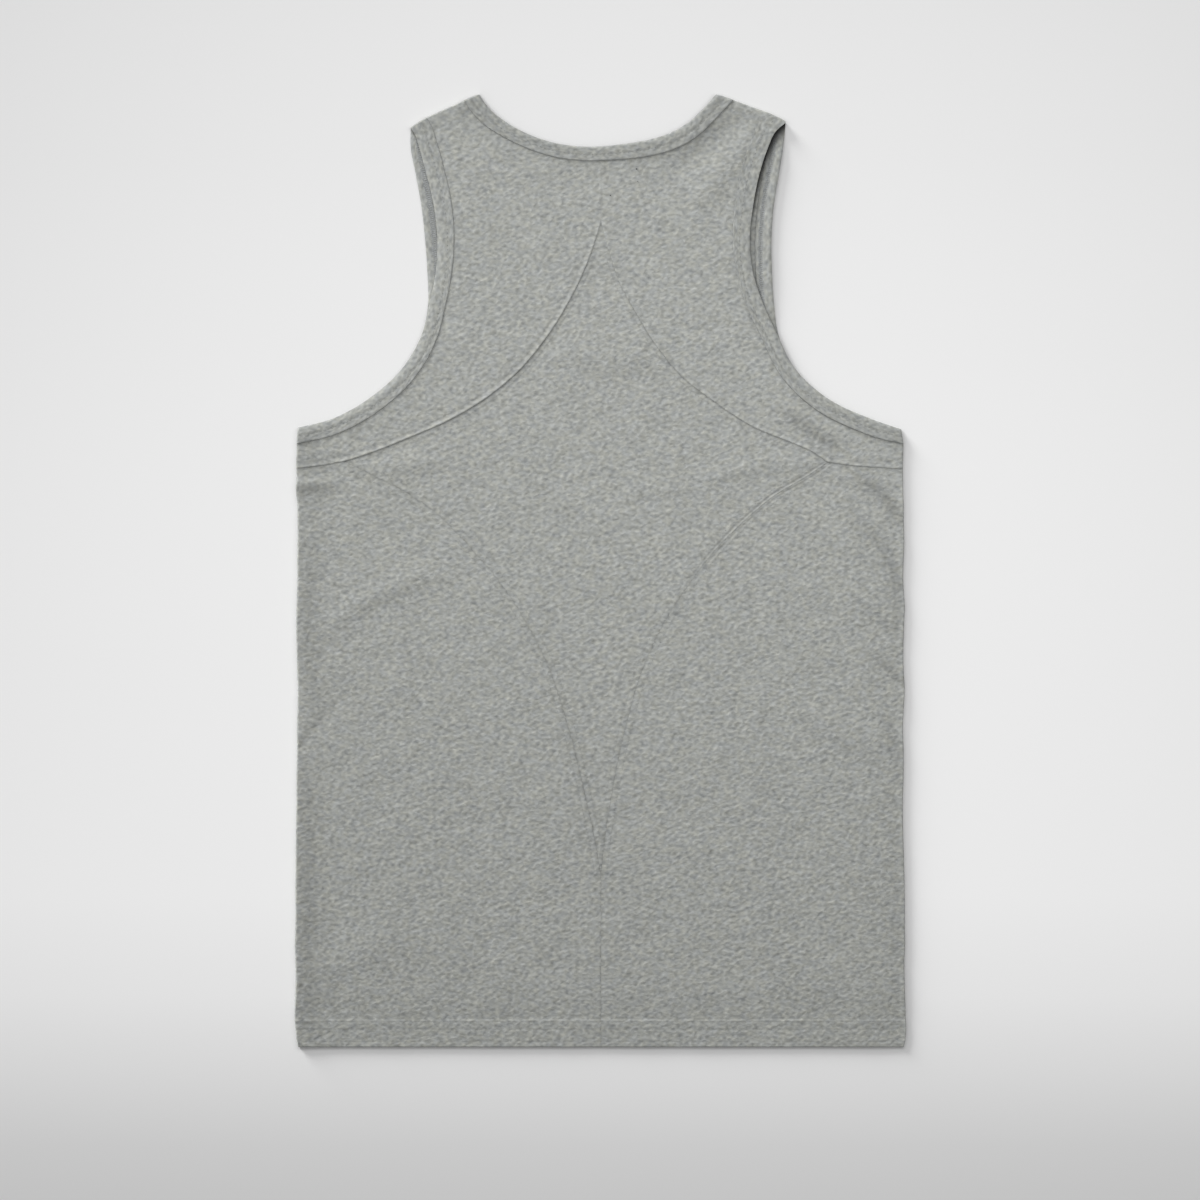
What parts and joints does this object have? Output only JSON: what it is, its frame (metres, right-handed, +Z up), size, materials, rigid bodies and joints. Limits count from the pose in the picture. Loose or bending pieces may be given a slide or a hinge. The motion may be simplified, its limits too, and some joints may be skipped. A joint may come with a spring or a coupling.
{
  "type": "tank top",
  "caption": "Sleeveless tank top laid flat with its back up, in marl jersey with bound neck and armholes and long curved back seams.",
  "frame": {"origin": "on the surface that the garment lies on, under the middle of its outline", "axes": "+X to the right as seen from above, +Y from the hem to the neck, +Z up through the garment from its front to its back"},
  "size_m": [0.49, 0.7611, 0.0079],
  "materials": {
    "marl_jersey": "matte",
    "band_jersey": "matte"
  },
  "bodies": {
    "root": {"front_panel": "marl_jersey", "back_center": "marl_jersey", "back_yoke_left": "marl_jersey", "back_yoke_right": "marl_jersey", "back_lower_left": "marl_jersey", "back_lower_right": "marl_jersey", "neck_band": "band_jersey", "armhole_band_left": "band_jersey", "armhole_band_right": "band_jersey"}
  },
  "joints": []
}
